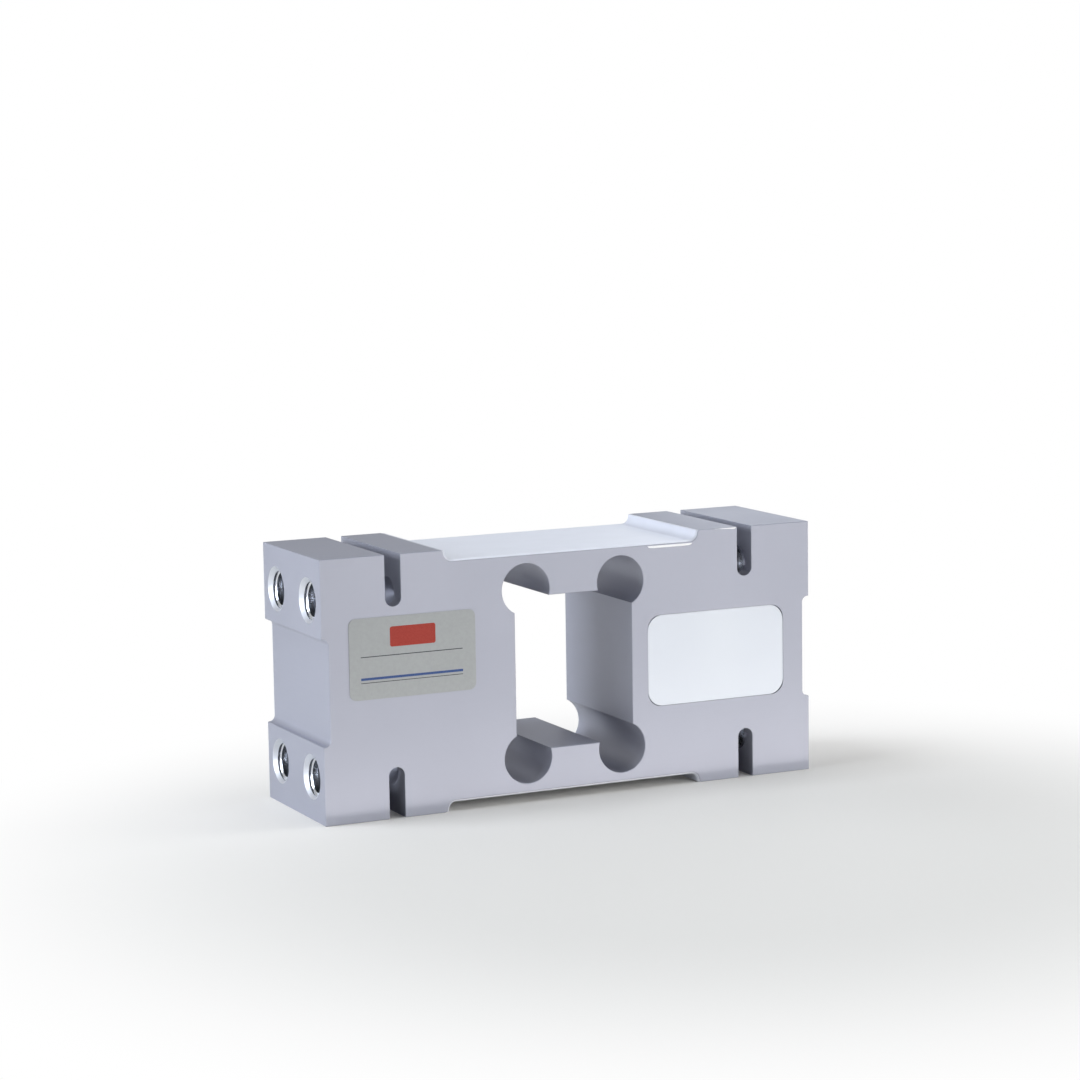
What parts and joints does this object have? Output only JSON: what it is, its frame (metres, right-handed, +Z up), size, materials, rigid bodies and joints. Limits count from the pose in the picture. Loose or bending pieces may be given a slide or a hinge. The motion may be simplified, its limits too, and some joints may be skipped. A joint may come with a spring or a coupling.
{
  "type": "single point load cell",
  "caption": "Machined aluminium bending-beam block with a lobed window, slotted tapped end pads, sealed wiring pocket and coated strain gauges; turns platform load into a signal.",
  "frame": {"origin": "middle of the beam at the level of its bottom clamping pads", "axes": "+X along the beam towards the end with the cable inlet, +Y from the front face with the nameplate and the pocket cover to the back face, +Z up"},
  "size_m": [0.191, 0.0541, 0.092],
  "materials": {
    "satin_aluminium": "machined and clear anodised, satin",
    "nameplate_foil": "satin metallised foil with printed fields of colour",
    "cover_plate": "pale satin paint",
    "white_compound": "cast white silicone",
    "silicone_coat": "brushed-on pale silicone coat",
    "glass_fibre_board": "green solder mask",
    "bond_sheet": "foam adhesive",
    "copper_foil": "bare copper foil",
    "resistor_body": "glazed black chip with tinned ends",
    "seal_rubber": "moulded nitrile rubber",
    "bush_brass": "turned",
    "gauge_film": "amber polyimide film",
    "gauge_foil": "etched resistance foil",
    "lead_wire": "enamelled copper"
  },
  "bodies": {
    "root": {"board_bond_sheet": "bond_sheet", "board_compound": "white_compound", "board_solder_pads": "copper_foil", "gauge_coating_bottom": "silicone_coat", "gauge_coating_top": "silicone_coat", "gauge_film_bottom_left": "gauge_film", "gauge_film_bottom_right": "gauge_film", "gauge_film_top_left": "gauge_film", "gauge_film_top_right": "gauge_film", "gauge_grid_bottom_left": "gauge_foil", "gauge_grid_bottom_right": "gauge_foil", "gauge_grid_top_left": "gauge_foil", "gauge_grid_top_right": "gauge_foil", "gauge_ribbons_bottom_left": "lead_wire", "gauge_ribbons_bottom_right": "lead_wire", "gauge_ribbons_top_left": "lead_wire", "gauge_ribbons_top_right": "lead_wire", "inlet_bush": "bush_brass", "inlet_seal": "seal_rubber", "lead_wires_bottom": "lead_wire", "lead_wires_top": "lead_wire", "nameplate_label": "nameplate_foil", "pocket_cover": "cover_plate", "span_temperature_resistor": "resistor_body", "span_trim_resistor": "resistor_body", "spring_body": "satin_aluminium", "terminal_board": "glass_fibre_board", "wiring_film_bottom": "gauge_film", "wiring_film_top": "gauge_film", "wiring_tracks_bottom": "copper_foil", "wiring_tracks_top": "copper_foil", "zero_temperature_resistor": "resistor_body", "zero_trim_resistor": "resistor_body"}
  },
  "joints": []
}
